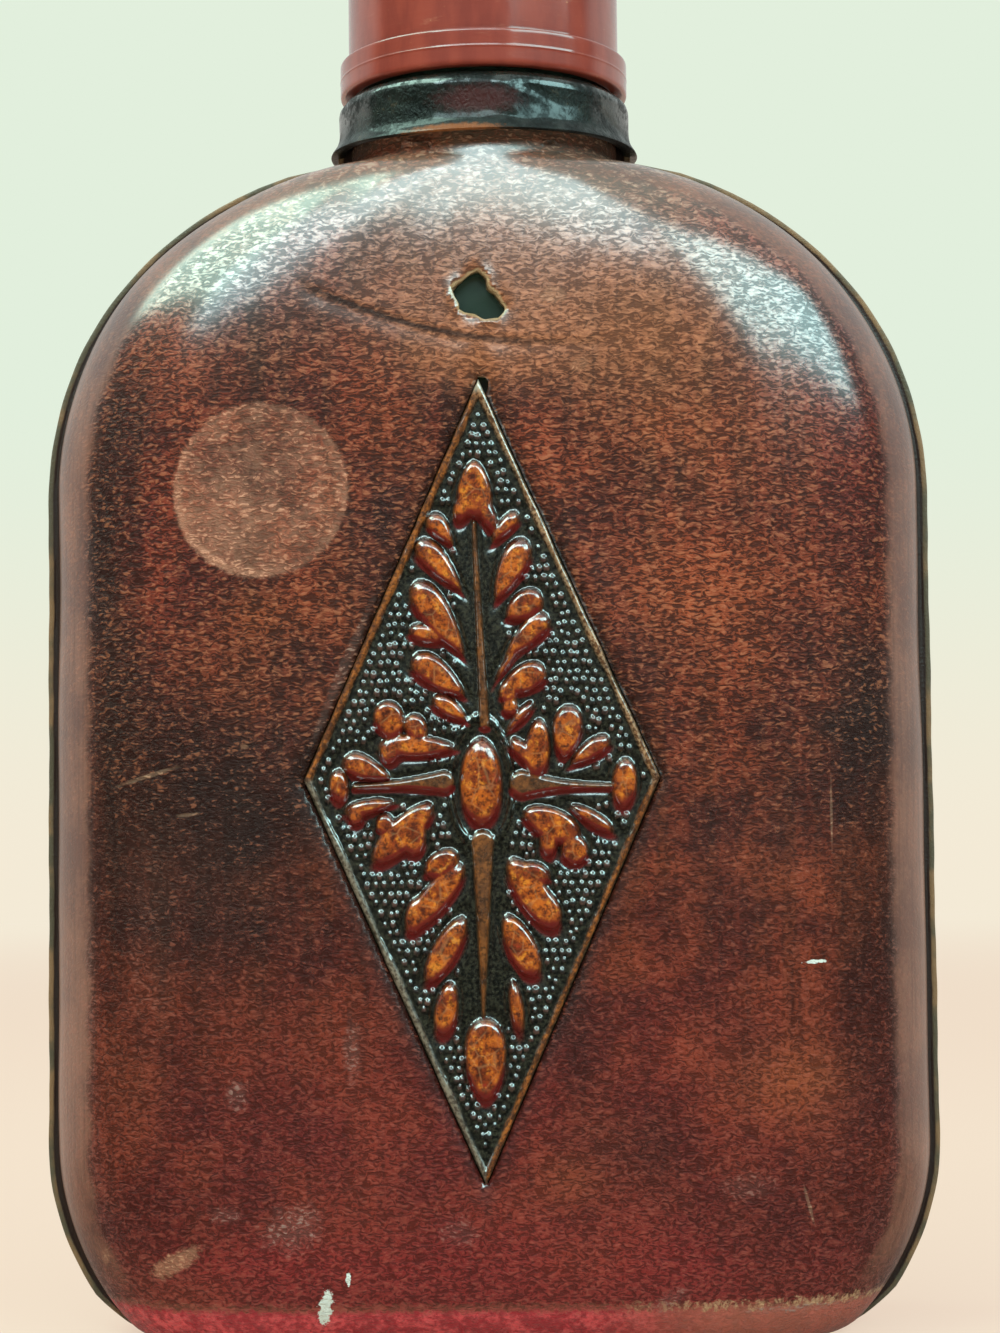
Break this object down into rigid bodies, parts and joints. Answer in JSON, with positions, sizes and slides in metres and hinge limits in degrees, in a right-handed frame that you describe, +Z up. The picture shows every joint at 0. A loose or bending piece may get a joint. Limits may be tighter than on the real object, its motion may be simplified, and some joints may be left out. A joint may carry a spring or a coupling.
{
  "type": "leather-wrapped flask",
  "caption": "Flat glass pocket flask in a moulded two-part leather cover with an embossed lozenge plaque, a leather neck collar and a lined screw cap.",
  "frame": {"origin": "centre of the outline at the height of the flat base", "axes": "+Z up the neck, broad front face with the plaque towards -Y, +X to the right of the front face"},
  "size_m": [0.0942, 0.0363, 0.1526],
  "materials": {
    "green_glass": "smooth dark green bottle glass",
    "cover_leather": "worn red-brown pebbled leather, darker towards the seam",
    "plaque_leather": "embossed and painted leather, orange-brown relief on a black-green ground",
    "collar_leather": "glossy black-green leather",
    "cap_plastic": "glossy oxblood moulded plastic",
    "liner_board": "pale sealing disc"
  },
  "bodies": {
    "flask": {"glass_bottle": "green_glass", "front_cover": "cover_leather", "rear_cover": "cover_leather", "lozenge_plaque": "plaque_leather", "neck_collar": "collar_leather"},
    "seal": {"cap_liner": "liner_board"},
    "cap": {"cap": "cap_plastic"}
  },
  "joints": [
    {"name": "cap_rise", "type": "slide", "parent": "flask", "child": "seal", "axis": [0, 0, 1], "range_m": [0, 0.01906]},
    {"name": "cap_turn", "type": "hinge", "parent": "seal", "child": "cap", "pos_m": [0, 0, 0.14], "axis": [0, 0, 1], "range_deg": [0, 1620]}
  ],
  "couplings": [
    {"joint": "cap_rise", "follows": "cap_turn", "m_per_rad": 0.00067375}
  ]
}
